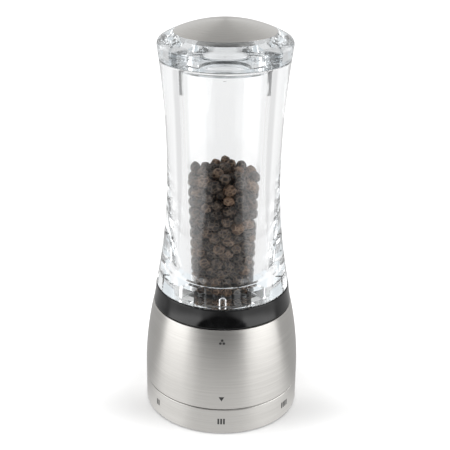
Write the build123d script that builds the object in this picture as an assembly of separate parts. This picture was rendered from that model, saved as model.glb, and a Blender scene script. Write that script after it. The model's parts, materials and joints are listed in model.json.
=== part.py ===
from build123d import *
from math import copysign, cos, radians, sin, sqrt
import os

# Pepper mill, millimetres. Z is the turning axis, the table is at z = 0 and the front faces -Y.

# Clearances
press_gap = 0.02
fit_gap = 0.05
run_gap = 0.1
free_gap = 0.3

# Outline of the mill
base_radius = 31.3
setting_lift = 0.5
setting_height = 10.9
seam_height = 0.3
sleeve_height = 33.5
sleeve_straight = 3.3
sleeve_top_radius = 27.9
sheet = 0.8
edge_round = 0.3
collar_height = 7.7
collar_step = 0.1
collar_draw = 1.1
collar_hollow = 0.15
collar_edge_round = 0.4
collar_wall = 1.9
hopper_height = 91.7
hopper_step = 0.1
hopper_rim_radius = 24.65
hopper_edge_round = 0.5
waist_radius = 21.9
waist_height = 47.7
lid_gap = 0.2
lid_height = 13.75
lid_edge_round = 2.6
crown_radius = 48.0
dome_radius = 19.3
dome_skirt = 2.5

# Hopper bore, keyways and lid plug
bore_bottom_radius = 13.6
bore_rim_radius = 15.5
bore_lift = 4.7
bore_chamfer = 0.6
pocket_base_radius = 15.0
pocket_angle = 28.0
foot_hollow_wall = 1.8
foot_hollow_angle = 14.0
foot_hollow_turn = 36.0
keyway_width = 1.3
keyway_depth = 1.1
keyway_length = 11.0
key_length = 2.6
plug_gap = 0.4
plug_length = 3.0
lid_web = 2.0
lid_cavity_radius = 9.8
lid_relief_inner = 16.6
lid_relief_width = 4.0
lid_relief_height = 5.0
lid_relief_angle = 20.0
lid_relief_rib = 4.0
seal_wire = 1.2
seal_lift = 0.6
index_tab_width = 3.0
index_tab_height = 4.7
index_tab_proud = 0.8

# Drive from the hopper to the grinding core
recess_depth = 3.0
ledge_thickness = 3.2
spider_ring_width = 2.5
spider_hub_radius = 6.0
spider_hub_rise = 3.5
spider_arm_width = 4.0
dog_rise = 4.0
dog_width = 2.6
bayonet_wall = 1.4
bayonet_lug = 1.0
bayonet_lug_height = 1.2
bayonet_angle = 34.0
collar_skirt_wall = 2.3
clip_thickness = 1.0
clip_bite = 0.7
clip_proud = 1.1
clip_depth = 2.4
skirt_tail = 2.0
shaft_radius = 3.0
square_width = 4.2
shaft_end = 7.5
shaft_thread_radius = 1.9
shaft_clip_thickness = 0.8
shaft_clip_width = 2.4
shaft_clip_bite = 0.6
shaft_spring_wire = 0.9
shaft_spring_turns = 5

# Grinding core and outer burr
core_base_radius = 11.0
core_top_radius = 6.5
core_height = 14.5
core_drop = 0.5
grind_gap = 0.55
burr_wall = 4.2
burr_height = 12.0
burr_intake_height = 6.0
burr_intake_wall = 1.0
tooth_count = 24
tooth_width = 0.8
flute_count = 6
flute_width = 2.4
tooth_twist = 16.0
washer_thickness = 0.8
washer_radius = 4.6
nut_height = 2.5
nut_width = 6.4

# Burr carrier and grind setting
carrier_wall = 3.2
carrier_lip_height = 4.4
carrier_lip_width = 1.2
carrier_land = 0.5
carrier_foot_gap = 0.6
snap_ring_thickness = 0.8
snap_ring_width = 1.4
snap_ring_bite = 0.6
pin_radius = 0.8
pin_inset = 0.4
groove_depth = 1.5
groove_side_gap = 0.2
groove_end_angle = 12.0
groove_pitch = 3.0
neck_wall = 3.0
setting_tube_wall = 3.1
setting_rim_width = 2.1
setting_rim_height = 0.7
setting_rim_wall = 1.55
setting_web = 2.5
carrier_spring_wire = 1.0
carrier_spring_turns = 4

# Grind settings: six click stops, the third one at the pointer
setting_count = 6
setting_step = 55.0
setting_at_rest = 3

# Base frame, bearing and foot
foot_height = 3.1
foot_inset = 5.3
foot_inner_radius = 17.0
foot_screw_radius = 0.8
foot_screw_length = 6.0
foot_head_radius = 1.4
foot_head_height = 1.2
flange_inset = 0.5
flange_height = 2.8
cup_wall = 2.3
cup_slope = 4.0
rib_thickness = 1.6
rib_count = 6
throat_wall = 1.0
throat_inset = 0.6
funnel_height = 5.0
shoulder_drop = 1.0
bridge_ledge = 3.7
bridge_thickness = 2.0
bridge_hub_height = 6.0
bridge_arm_width = 3.6
bush_wall = 1.4
bush_flange = 1.0
bush_flange_width = 1.6
bridge_screw_radius = 0.8
bridge_screw_length = 5.0
bridge_head_radius = 1.4
bridge_head_height = 1.0
slide_ring_height = 1.0
slide_ring_wall = 1.6

# Click spring under the base flange
click_width = 2.2
click_thickness = 0.3
click_span = 30.0
click_recess = 0.7
click_nose_width = 1.2
click_nose_drop = 0.7
click_notch_gap = 0.3
click_rivet_radius = 0.5
click_head_radius = 0.9
click_head_height = 0.3

# Angles about the turning axis
front_angle = 270.0
pocket_angles = (90.0, 210.0, 330.0)
bayonet_angles = (30.0, 150.0, 270.0)
click_angle = 90.0

# Levels of the outline, from the table up
setting_bottom = setting_lift
setting_top = setting_bottom + setting_height
sleeve_bottom = setting_top + seam_height
sleeve_top = sleeve_bottom + sleeve_height
collar_bottom = sleeve_top + free_gap
collar_top = collar_bottom + collar_height
hopper_bottom = collar_top + run_gap
hopper_rim = hopper_bottom + hopper_height
waist_z = hopper_bottom + waist_height
lid_bottom = hopper_rim + lid_gap
lid_top = lid_bottom + lid_height
dome_edge = lid_top - crown_radius + sqrt(crown_radius**2 - dome_radius**2)

# Radii of the outline, where one piece meets the next
collar_bottom_radius = sleeve_top_radius - collar_step
collar_top_radius = collar_bottom_radius - collar_draw
hopper_foot_radius = collar_top_radius - hopper_step
foot_radius = base_radius - foot_inset

# Travel of the burr carrier for the finest and the coarsest setting
fine_travel = groove_pitch * setting_step * (setting_at_rest - 1) / 360
coarse_travel = groove_pitch * setting_step * (setting_count - setting_at_rest) / 360

# Radii of the grinding works, from the core outwards
burr_radius = core_base_radius + grind_gap + burr_wall
carrier_bore = burr_radius + fit_gap
carrier_radius = carrier_bore + carrier_wall
guide_radius = carrier_radius + run_gap
neck_radius = guide_radius + neck_wall
setting_bore = neck_radius + run_gap
setting_tube_radius = setting_bore + setting_tube_wall
setting_core_radius = base_radius - sheet - fit_gap
flange_radius = setting_core_radius
throat_radius = burr_radius - throat_inset
click_radius = (setting_bore + setting_rim_width + flange_radius) / 2

# Levels of the grinding works, from the foot up
flange_bottom = sleeve_bottom + flange_inset
setting_core_top = flange_bottom - free_gap - setting_rim_height
groove_middle = (foot_height + free_gap + setting_core_top) / 2
carrier_bottom = foot_height + fine_travel + carrier_foot_gap
burr_bottom = carrier_bottom + carrier_lip_height
burr_top = burr_bottom + burr_height
carrier_top = burr_top + snap_ring_thickness + run_gap + carrier_land
throat_bottom = carrier_top + coarse_travel + free_gap
core_bottom = burr_bottom + core_drop
core_top = core_bottom + core_height
washer_bottom = core_bottom - washer_thickness
nut_bottom = washer_bottom - nut_height

# Levels of the bearing and the drive, from the sleeve's top down
frame_top = sleeve_top - sheet
clip_top = frame_top - clip_depth
clip_bottom = clip_top - clip_thickness
skirt_bottom = clip_bottom - skirt_tail
bridge_top = skirt_bottom - 2 * free_gap
bridge_seat = bridge_top - bridge_thickness
throat_top = bridge_seat - funnel_height
spring_shoulder = throat_top - shoulder_drop
bush_top = bridge_top + bush_flange
shaft_clip_bottom = bush_top + run_gap
shaft_clip_top = shaft_clip_bottom + shaft_clip_thickness
ledge_top = collar_top - recess_depth
hub_bottom = ledge_top
hub_top = collar_top + spider_hub_rise
shaft_top = hub_bottom + shaft_end

# Radii of the bearing and the drive
cup_radius = sleeve_top_radius - sheet - run_gap
cup_bore = cup_radius - cup_wall
skirt_radius = cup_bore - free_gap
skirt_bore = skirt_radius - collar_skirt_wall
funnel_top_radius = cup_bore - bridge_ledge
recess_radius = collar_top_radius - collar_wall
bayonet_outer = recess_radius - free_gap - bayonet_lug
bayonet_inner = bayonet_outer - bayonet_wall
spider_radius = bayonet_inner - 2 * free_gap
ledge_radius = spider_radius - spider_ring_width
pocket_radius = spider_radius - free_gap
bush_bore = shaft_radius + run_gap
bush_radius = bush_bore + bush_wall


def lathe(*points):
    """A solid turned about the Z axis from an outline of (radius, height) points."""
    outline = Polyline(*[(r, 0, z) for r, z in points], close=True)
    return revolve(make_face(outline), Axis.Z, 360)


def tube(inner, outer, bottom, top):
    """A plain ring."""
    return lathe((inner, bottom), (outer, bottom), (outer, top), (inner, top))


def post(radius, bottom, top):
    """A plain round post on the axis."""
    return Pos(0, 0, bottom) * Cylinder(radius, top - bottom, align=(Align.CENTER, Align.CENTER, Align.MIN))


def sector(inner, outer, bottom, top, middle, width):
    """A piece of a ring, width degrees wide, about the angle middle."""
    outline = Polyline((inner, 0, bottom), (outer, 0, bottom), (outer, 0, top), (inner, 0, top), close=True)
    return Rot(0, 0, middle - width / 2) * revolve(make_face(outline), Axis.Z, width)


def bar(inner, outer, width, bottom, top, angle):
    """A straight radial bar."""
    box = Box(outer - inner, width, top - bottom, align=(Align.MIN, Align.CENTER, Align.MIN))
    return Rot(0, 0, angle) * Pos(inner, 0, bottom) * box


def rounded(section, radius, *corners):
    """A section whose corners nearest the given (radius, height) points are rounded."""
    face = section.face()
    for r, z in corners:
        corner = face.vertices().sort_by_distance((r, 0, z))[0]
        face = face.fillet_2d(radius, [corner])
    return face


def coil(mean_radius, wire, bottom, top, turns):
    """An open coil spring of round wire between two levels."""
    height = top - bottom - wire
    path = Helix(pitch=height / turns, height=height, radius=mean_radius, center=(0, 0, bottom + wire / 2))
    return sweep(Plane(path @ 0, z_dir=path % 0) * Circle(wire / 2), path=path)


def v_cut(start, end, width):
    """A bar with a square section standing on its edge, from one point to another."""
    path = Line(start, end)
    across = Plane(origin=path @ 0, x_dir=(start[0], start[1], 0), z_dir=path % 0)
    return extrude(across * Rectangle(width, width, 45), path.length, dir=path % 0)


def on_circle(radius, angle, z):
    """A point at a radius, an angle and a height."""
    return (radius * cos(radians(angle)), radius * sin(radians(angle)), z)


def flare(z):
    """Radius of the clear body's side: two arcs that meet upright at the waist."""
    end_z = hopper_bottom if z < waist_z else hopper_rim
    end_radius = hopper_foot_radius if z < waist_z else hopper_rim_radius
    reach = end_z - waist_z
    swell = end_radius - waist_radius
    arc_radius = (reach**2 + swell**2) / (2 * swell)
    return waist_radius + arc_radius - copysign(sqrt(arc_radius**2 - (z - waist_z) ** 2), swell)


def flare_arc(z0, z1):
    """The side of the clear body between two levels on one side of the waist."""
    levels = (z0, (z0 + z1) / 2, z1)
    return ThreePointArc(*[(flare(z), 0, z) for z in levels])


def bore(z):
    """Radius of the hopper's tapered bore."""
    share = (z - hopper_bottom - bore_lift) / (hopper_height - bore_lift)
    return bore_bottom_radius + (bore_rim_radius - bore_bottom_radius) * share


def barrel(z, inset=0.0):
    """Radius of the base sleeve's side: upright at the bottom, then one arc to its top."""
    arc_start = sleeve_bottom + sleeve_straight
    rise = sleeve_top - arc_start
    draw_in = base_radius - sleeve_top_radius
    arc_radius = (rise**2 + draw_in**2) / (2 * draw_in)
    height = max(z - arc_start, 0)
    return base_radius - arc_radius + sqrt((arc_radius - inset) ** 2 - height**2)


# Lid


def lid_side_and_crown():
    """The solid outline of the lid: the hopper's flare carried up to the round crown."""
    edges = [
        Line((0, 0, lid_bottom), (flare(lid_bottom), 0, lid_bottom)),
        flare_arc(lid_bottom, lid_top),
        Line((flare(lid_top), 0, lid_top), (0, 0, lid_top)),
        Line((0, 0, lid_top), (0, 0, lid_bottom)),
    ]
    crown = Plane.XZ * Pos(0, lid_top - crown_radius) * Circle(crown_radius)
    face = rounded(make_face(edges) & crown, lid_edge_round, (flare(lid_top), lid_top))
    face = rounded(face, hopper_edge_round, (flare(lid_bottom), lid_bottom))
    return revolve(face, Axis.Z, 360)


def lid_shell():
    """The clear lid: a keyed plug, a recess for the steel cap and pairs of moulded pockets about the keys."""
    plug_bottom = lid_bottom - plug_length
    plug_radius = bore(plug_bottom) - plug_gap
    recess_floor = dome_edge - dome_skirt - fit_gap
    shell = lid_side_and_crown()
    shell += post(plug_radius, plug_bottom, lid_bottom + fit_gap)
    shell -= post(dome_radius + fit_gap, recess_floor, lid_top)
    shell -= post(lid_cavity_radius, plug_bottom, recess_floor - lid_web)
    relief_outer = lid_relief_inner + lid_relief_width
    relief_offset = (lid_relief_angle + lid_relief_rib) / 2
    for angle in pocket_angles:
        for middle in (angle - relief_offset, angle + relief_offset):
            shell -= sector(lid_relief_inner, relief_outer, lid_bottom, lid_bottom + lid_relief_height,
                            middle, lid_relief_angle)
        shell += bar(plug_radius - run_gap, bore_rim_radius + keyway_depth - free_gap,
                     keyway_width - free_gap, hopper_rim - key_length, lid_bottom + fit_gap, angle)
    return shell - seal_groove()


def lid_dome():
    """A pressed steel cap with a short turned-down skirt, let into the lid."""
    centre = lid_top - crown_radius
    inner_crown = crown_radius - sheet
    inner_radius = dome_radius - sheet
    inner_edge = centre + sqrt(inner_crown**2 - inner_radius**2)
    skirt_end = dome_edge - dome_skirt

    def crown_point(radius, reach):
        return (reach, 0, centre + sqrt(radius**2 - reach**2))

    edges = [
        ThreePointArc((0, 0, lid_top), crown_point(crown_radius, dome_radius / 2),
                      (dome_radius, 0, dome_edge)),
        Line((dome_radius, 0, dome_edge), (dome_radius, 0, skirt_end)),
        Line((dome_radius, 0, skirt_end), (inner_radius, 0, skirt_end)),
        Line((inner_radius, 0, skirt_end), (inner_radius, 0, inner_edge)),
        ThreePointArc((inner_radius, 0, inner_edge), crown_point(inner_crown, inner_radius / 2),
                      (0, 0, lid_top - sheet)),
        Line((0, 0, lid_top - sheet), (0, 0, lid_top)),
    ]
    face = rounded(make_face(edges), edge_round, (dome_radius, dome_edge))
    return revolve(face, Axis.Z, 360)


def seal_middle():
    return lid_bottom - plug_length + seal_lift + seal_wire / 2


def seal_reach():
    return bore(seal_middle() - seal_wire / 2) - run_gap


def seal_groove():
    """The groove around the plug and its keys, as a cutter."""
    half = seal_wire / 2 + fit_gap
    bottom = seal_reach() - seal_wire - fit_gap
    return tube(bottom, seal_reach(), seal_middle() - half, seal_middle() + half)


def lid_seal():
    """A soft ring in the plug's groove that grips the bore."""
    return Pos(0, 0, seal_middle()) * Torus(seal_reach() - seal_wire / 2, seal_wire / 2)


# Hopper half


def hopper():
    """The clear body: a tapered bore, keyways for the lid, pockets and hollows in its foot, bayonet lugs."""
    bore_start = hopper_bottom + bore_lift
    chamfer_top = bore_start + bore_chamfer
    edges = [
        Line((pocket_base_radius, 0, hopper_bottom), (hopper_foot_radius, 0, hopper_bottom)),
        flare_arc(hopper_bottom, waist_z),
        flare_arc(waist_z, hopper_rim),
        Line((hopper_rim_radius, 0, hopper_rim), (bore_rim_radius, 0, hopper_rim)),
        Line((bore_rim_radius, 0, hopper_rim), (bore(chamfer_top), 0, chamfer_top)),
        Line((bore(chamfer_top), 0, chamfer_top), (bore_bottom_radius + bore_chamfer, 0, bore_start)),
        Line((bore_bottom_radius + bore_chamfer, 0, bore_start), (pocket_base_radius, 0, bore_start)),
        Line((pocket_base_radius, 0, bore_start), (pocket_base_radius, 0, hopper_bottom)),
    ]
    corners = ((hopper_foot_radius, hopper_bottom), (hopper_rim_radius, hopper_rim))
    body = revolve(rounded(make_face(edges), hopper_edge_round, *corners), Axis.Z, 360)
    for angle in pocket_angles:
        body -= sector(bore_bottom_radius, pocket_radius, hopper_bottom, bore_start - free_gap,
                       angle, pocket_angle)
        body -= bar(bore_bottom_radius - keyway_depth, bore_rim_radius + keyway_depth, keyway_width,
                    hopper_rim - keyway_length, hopper_rim, angle)
    lug_bottom = ledge_top + 2 * run_gap
    for angle in bayonet_angles:
        body += sector(bayonet_inner, bayonet_outer, lug_bottom, hopper_bottom + fit_gap, angle,
                       bayonet_angle)
        body += sector(bayonet_inner, bayonet_outer + bayonet_lug, lug_bottom,
                       lug_bottom + bayonet_lug_height, angle, bayonet_angle)
        for middle in (angle - foot_hollow_turn, angle + foot_hollow_turn):
            body -= sector(pocket_base_radius + foot_hollow_wall, pocket_radius, hopper_bottom,
                           bore_start - free_gap, middle, foot_hollow_angle)
    return body + index_tab()


def index_tab():
    """A small half-round rib with a round top at the foot of the hopper's front."""
    half = index_tab_width / 2
    sink = half - index_tab_proud
    rib_bottom = hopper_bottom + hopper_edge_round
    rib_top = rib_bottom + index_tab_height - half
    foot = (0, sink - flare(rib_bottom), rib_bottom)
    tip = (0, sink - flare(rib_top), rib_top)
    path = Line(foot, tip)
    rib = extrude(Plane(origin=foot, z_dir=path % 0) * Circle(half), path.length)
    return rib + Pos(*tip) * Sphere(half)


def drive_collar():
    """The black ring: it hangs in the base by its skirt and carries the hopper in its recess."""
    ledge_bottom = ledge_top - ledge_thickness
    middle_radius = (collar_bottom_radius + collar_top_radius) / 2 - collar_hollow
    side = ThreePointArc(
        (collar_bottom_radius, 0, collar_bottom),
        (middle_radius, 0, (collar_bottom + collar_top) / 2),
        (collar_top_radius, 0, collar_top),
    )
    inside = Polyline(
        (collar_top_radius, 0, collar_top),
        (recess_radius, 0, collar_top),
        (recess_radius, 0, ledge_top),
        (ledge_radius, 0, ledge_top),
        (ledge_radius, 0, ledge_bottom),
        (skirt_bore, 0, ledge_bottom),
        (skirt_bore, 0, skirt_bottom),
        (skirt_radius, 0, skirt_bottom),
        (skirt_radius, 0, collar_bottom),
        (collar_bottom_radius, 0, collar_bottom),
    )
    corners = ((collar_bottom_radius, collar_bottom), (collar_top_radius, collar_top))
    collar = revolve(rounded(make_face([side, inside]), collar_edge_round, *corners), Axis.Z, 360)
    collar -= tube(skirt_radius - clip_bite, skirt_radius + run_gap, clip_bottom, clip_top)
    hook_bottom = ledge_top + 2 * run_gap + bayonet_lug_height + run_gap
    for angle in bayonet_angles:
        collar += sector(bayonet_outer + free_gap, recess_radius + fit_gap, hook_bottom,
                         collar_top - fit_gap, angle, bayonet_angle)
    return collar


def collar_clip():
    """A split ring in the skirt's groove that keeps the collar in the base."""
    inner = skirt_radius - clip_bite + press_gap
    ring = tube(inner, skirt_radius + clip_proud, clip_bottom + press_gap, clip_top - press_gap)
    return ring - bar(inner - clip_bite, skirt_radius + 2 * clip_proud, 2 * clip_proud, clip_bottom, clip_top,
                      click_angle)


def drive_spider():
    """Three arms from a square-holed hub to a ring, with dogs that stand in the hopper's pockets."""
    ring_top = collar_top - fit_gap
    spider = tube(ledge_radius, spider_radius - free_gap, ledge_top, ring_top)
    spider += post(spider_hub_radius, hub_bottom, hub_top)
    dog_outer = pocket_radius - free_gap
    dog_angle = pocket_angle - 4 * free_gap
    for angle in pocket_angles:
        spider += bar(square_width, ledge_radius + run_gap, spider_arm_width, ledge_top, ring_top, angle)
        spider += sector(dog_outer - dog_width, dog_outer, ring_top - fit_gap, collar_top + dog_rise,
                         angle, dog_angle)
    hole = Box(square_width + 2 * fit_gap, square_width + 2 * fit_gap, 2 * (hub_top - hub_bottom))
    return spider - Pos(0, 0, hub_bottom) * hole


def drive_shaft():
    """A round journal with square ends for the hub and the core, and a thread for the nut."""
    square = Box(square_width, square_width, shaft_top - core_bottom,
                 align=(Align.CENTER, Align.CENTER, Align.MIN))
    shaft = Pos(0, 0, core_bottom) * square
    shaft += post(shaft_radius, core_top + fit_gap, hub_bottom - fit_gap)
    shaft += post(shaft_thread_radius, nut_bottom - fit_gap, core_bottom + fit_gap)
    shaft -= tube(shaft_radius - shaft_clip_bite, shaft_radius + run_gap, shaft_clip_bottom, shaft_clip_top)
    return shaft


def shaft_clip():
    """A clip in the shaft's groove that rides on the bush and carries the shaft."""
    inner = shaft_radius - shaft_clip_bite + press_gap
    clip = tube(inner, shaft_radius + shaft_clip_width, shaft_clip_bottom, shaft_clip_top - press_gap)
    return clip - bar(0, shaft_radius + 2 * shaft_clip_width, shaft_radius, shaft_clip_bottom, shaft_clip_top,
                      front_angle)


def shaft_spring():
    mean_radius = shaft_radius + free_gap + shaft_spring_wire / 2
    return coil(mean_radius, shaft_spring_wire, shaft_clip_top + fit_gap, hub_bottom - fit_gap,
                shaft_spring_turns)


def core_radius(z):
    """Radius over the core's teeth."""
    return core_base_radius + (core_top_radius - core_base_radius) * (z - core_bottom) / core_height


def grinding_core():
    """A fluted and toothed steel cone with a square hole."""
    core = lathe((0, core_bottom), (core_base_radius, core_bottom), (core_top_radius, core_top),
                 (0, core_top))
    fine_top = core_bottom + core_height / 2
    cuts = []
    for i in range(tooth_count):
        angle = 360 * i / tooth_count
        start = on_circle(core_radius(core_bottom - tooth_width), angle, core_bottom - tooth_width)
        end = on_circle(core_radius(fine_top), angle + tooth_twist, fine_top)
        cuts.append(v_cut(start, end, tooth_width))
    for i in range(flute_count):
        angle = 360 * i / flute_count
        start = on_circle(core_radius(fine_top) + tooth_width, angle, fine_top)
        end = on_circle(core_radius(core_top + flute_width), angle + 2 * tooth_twist, core_top + flute_width)
        cuts.append(v_cut(start, end, flute_width))
    hole = Box(square_width + 2 * fit_gap, square_width + 2 * fit_gap, 3 * core_height)
    return core - cuts - Pos(0, 0, core_bottom) * hole


def core_washer():
    return tube(shaft_thread_radius + fit_gap, washer_radius, washer_bottom, core_bottom - press_gap)


def core_nut():
    """A hexagon nut under the core."""
    height = nut_height - press_gap
    nut = Pos(0, 0, nut_bottom) * extrude(RegularPolygon(nut_width / 2, 6, major_radius=False), height)
    return nut - post(shaft_thread_radius + fit_gap, nut_bottom - nut_height, washer_bottom)


# Base


def base_sleeve():
    """The pressed steel shell of the base, turned in at its top edge."""
    arc_start = sleeve_bottom + sleeve_straight
    lip_bottom = sleeve_top - sheet
    lip_radius = cup_radius - sheet / 2
    middle = (arc_start + sleeve_top) / 2
    inner_middle = (arc_start + lip_bottom) / 2
    edges = [
        Line((base_radius - sheet, 0, sleeve_bottom), (base_radius, 0, sleeve_bottom)),
        Line((base_radius, 0, sleeve_bottom), (base_radius, 0, arc_start)),
        ThreePointArc((base_radius, 0, arc_start), (barrel(middle), 0, middle),
                      (sleeve_top_radius, 0, sleeve_top)),
        Line((sleeve_top_radius, 0, sleeve_top), (lip_radius, 0, sleeve_top)),
        Line((lip_radius, 0, sleeve_top), (lip_radius, 0, lip_bottom)),
        Line((lip_radius, 0, lip_bottom), (barrel(lip_bottom, sheet), 0, lip_bottom)),
        ThreePointArc((barrel(lip_bottom, sheet), 0, lip_bottom),
                      (barrel(inner_middle, sheet), 0, inner_middle),
                      (base_radius - sheet, 0, arc_start)),
        Line((base_radius - sheet, 0, arc_start), (base_radius - sheet, 0, sleeve_bottom)),
    ]
    corners = ((base_radius, sleeve_bottom), (sleeve_top_radius, sleeve_top))
    return revolve(rounded(make_face(edges), edge_round, *corners), Axis.Z, 360)


def base_frame():
    """The moulding that holds the works: a slotted neck, a flange, a funnel and a cup for the collar."""
    undercut = skirt_radius + clip_proud + free_gap
    frame = lathe(
        (guide_radius, foot_height),
        (neck_radius, foot_height),
        (neck_radius, flange_bottom),
        (flange_radius, flange_bottom),
        (flange_radius, flange_bottom + flange_height),
        (neck_radius, flange_bottom + flange_height),
        (neck_radius, throat_top),
        (cup_radius, throat_top + cup_slope),
        (cup_radius, frame_top),
        (cup_bore, frame_top),
        (cup_bore, clip_top + free_gap),
        (undercut, clip_top + free_gap),
        (undercut, clip_bottom - free_gap),
        (cup_bore, clip_bottom - free_gap),
        (cup_bore, bridge_seat),
        (funnel_top_radius, bridge_seat),
        (throat_radius, throat_top),
        (throat_radius, throat_bottom),
        (throat_radius + throat_wall, throat_bottom),
        (throat_radius + throat_wall, spring_shoulder),
        (guide_radius, spring_shoulder),
    )
    rib_bottom = flange_bottom + flange_height - fit_gap
    rib_top = throat_top + cup_slope + fit_gap
    for i in range(rib_count):
        angle = 360 * i / rib_count
        frame += bar(neck_radius - fit_gap, cup_radius, rib_thickness, rib_bottom, rib_top, angle)
    slot_top = groove_middle + groove_pitch / 3 + coarse_travel + pin_radius + free_gap
    for angle in pocket_angles:
        frame -= bar(guide_radius - free_gap, neck_radius + free_gap, 2 * (pin_radius + free_gap),
                     foot_height, slot_top, angle)
    for angle in bayonet_angles:
        screw = on_circle((guide_radius + neck_radius) / 2, angle, 0)
        frame -= Pos(screw[0], screw[1]) * post(foot_screw_radius + press_gap, foot_height, foot_screw_end())
        screw = on_circle(bridge_screw_circle(), angle, 0)
        frame -= Pos(screw[0], screw[1]) * post(bridge_screw_radius + press_gap, bridge_screw_end(),
                                                bridge_seat)
    recess_half = click_width / 2 + free_gap
    recess_span = click_span + 2 * click_width
    frame -= sector(click_radius - recess_half, click_radius + recess_half, flange_bottom,
                    flange_bottom + click_recess, click_angle, recess_span)
    rivet = click_rivet_place()
    return frame - Pos(rivet[0], rivet[1]) * post(click_rivet_radius + press_gap, flange_bottom,
                                                  flange_bottom + flange_height)


def slide_ring():
    """A slippery ring between the base and the collar."""
    inner = cup_bore + run_gap
    return tube(inner, inner + slide_ring_wall, frame_top, frame_top + slide_ring_height)


def bridge_screw_circle():
    return (funnel_top_radius + cup_bore) / 2


def bridge_screw_end():
    return bridge_top - bridge_screw_length


def bearing_bridge():
    """A three-armed bridge across the cup that holds the shaft's bush."""
    hub_radius = bush_radius + bush_wall
    inner = bridge_screw_circle() - bridge_head_radius - free_gap
    bridge = tube(inner, cup_bore - fit_gap, bridge_seat, bridge_top)
    bridge += post(hub_radius, bridge_top - bridge_hub_height, bridge_top)
    for angle in bayonet_angles:
        bridge += bar(bush_radius, inner + fit_gap, bridge_arm_width, bridge_seat, bridge_top, angle)
    bridge -= post(bush_radius + press_gap, bridge_top - 2 * bridge_hub_height, bridge_top)
    for angle in bayonet_angles:
        screw = on_circle(bridge_screw_circle(), angle, 0)
        bridge -= Pos(screw[0], screw[1]) * post(bridge_screw_radius + press_gap, bridge_seat, bridge_top)
        bridge -= Pos(screw[0], screw[1]) * post(bridge_head_radius + press_gap,
                                                 bridge_top - bridge_head_height, bridge_top)
    return bridge


def shaft_bush():
    """A flanged bearing bush."""
    bush = tube(bush_bore, bush_radius, bridge_top - bridge_hub_height, bush_top)
    return bush + tube(bush_bore, bush_radius + bush_flange_width, bridge_top, bush_top)


def slotted_screw(shank_radius, head_radius, head_height, length):
    """A cheese-head screw, its head at the origin and its shank along +Z."""
    screw = post(head_radius, 0, head_height) + post(shank_radius, head_height, length)
    return screw - Box(3 * head_radius, head_radius / 3, head_height)


def bridge_screws():
    screw = slotted_screw(bridge_screw_radius, bridge_head_radius, bridge_head_height - press_gap,
                          bridge_screw_length - press_gap)
    places = [on_circle(bridge_screw_circle(), angle, bridge_top) for angle in bayonet_angles]
    return Part() + [Pos(*place) * Rot(180, 0, 0) * screw for place in places]


def foot_screw_end():
    return foot_screw_length + foot_head_height


def foot_ring():
    """The flat ring that the mill stands on, which also keeps the setting ring on the neck."""
    foot = tube(foot_inner_radius, foot_radius, 0, foot_height)
    for angle in bayonet_angles:
        screw = on_circle((guide_radius + neck_radius) / 2, angle, 0)
        foot -= Pos(screw[0], screw[1]) * post(foot_screw_radius + press_gap, 0, foot_height)
        foot -= Pos(screw[0], screw[1]) * post(foot_head_radius + press_gap, 0, foot_head_height + free_gap)
    return foot


def foot_screws():
    screw = slotted_screw(foot_screw_radius, foot_head_radius, foot_head_height,
                          foot_screw_length + foot_head_height - free_gap - press_gap)
    circle = (guide_radius + neck_radius) / 2
    places = [on_circle(circle, angle, free_gap - press_gap) for angle in bayonet_angles]
    return Part() + [Pos(*place) * screw for place in places]


def click_leaf_bottom():
    return flange_bottom + click_recess - press_gap - click_thickness


def click_rivet_place():
    return on_circle(click_radius, click_angle - click_span / 2 + 2 * click_head_radius, 0)


def click_nose_angle():
    return click_angle + click_span / 2 - 2 * click_head_radius


def click_spring():
    """A leaf spring under the base flange, its nose in a notch of the setting ring."""
    leaf_bottom = click_leaf_bottom()
    leaf = sector(click_radius - click_width / 2, click_radius + click_width / 2, leaf_bottom,
                  leaf_bottom + click_thickness, click_angle, click_span)
    nose_tip = setting_core_top - click_nose_drop + click_notch_gap
    leaf += click_wedge(click_nose_width, nose_tip, leaf_bottom + press_gap, click_width, click_nose_angle())
    rivet = click_rivet_place()
    return leaf - Pos(rivet[0], rivet[1]) * post(click_rivet_radius + press_gap, 0,
                                                 flange_bottom + flange_height)


def click_wedge(width, tip, top, reach, angle):
    """A wedge with its edge down and along a radius: the spring's nose or the cutter of its notch."""
    outline = Polyline((0, -width / 2, top), (0, 0, tip), (0, width / 2, top), close=True)
    wedge = extrude(make_face(outline), reach / 2, dir=(1, 0, 0), both=True)
    return Rot(0, 0, angle) * Pos(click_radius, 0, 0) * wedge


def click_rivet():
    """A rivet that holds the leaf spring."""
    leaf_bottom = click_leaf_bottom()
    place = click_rivet_place()
    rivet = post(click_rivet_radius, leaf_bottom - press_gap, flange_bottom + flange_height - free_gap)
    rivet += post(click_head_radius, leaf_bottom - press_gap - click_head_height, leaf_bottom - press_gap)
    return Pos(place[0], place[1]) * rivet


# Grind setting


def setting_band():
    """The steel band of the setting ring."""
    edges = Polyline(
        (base_radius - sheet, 0, setting_bottom),
        (base_radius, 0, setting_bottom),
        (base_radius, 0, setting_top),
        (base_radius - sheet, 0, setting_top),
        close=True,
    )
    corners = ((base_radius, setting_bottom), (base_radius, setting_top))
    return revolve(rounded(make_face(edges), edge_round, *corners), Axis.Z, 360)


def follower_height(angle):
    """Height of the setting groove where a follower pin stands."""
    return groove_middle + groove_pitch * (angle - pocket_angles[1]) / 360


def setting_groove():
    """The screw groove inside the setting ring, as a cutter."""
    step_down = setting_step * (setting_at_rest - 1)
    step_up = setting_step * (setting_count - setting_at_rest)
    first = pocket_angles[0] - step_down - groove_end_angle
    last = pocket_angles[2] + step_up + groove_end_angle
    height = groove_pitch * (last - first) / 360
    start = (0, 0, follower_height(first))
    path = Helix(pitch=groove_pitch, height=height, radius=setting_bore, center=start)
    width = 2 * (pin_radius + groove_side_gap)
    section = Plane(path @ 0, x_dir=(1, 0, 0), z_dir=path % 0) * Rectangle(2 * groove_depth, width)
    return Rot(0, 0, first) * sweep(section, path=path, is_frenet=True)


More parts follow.
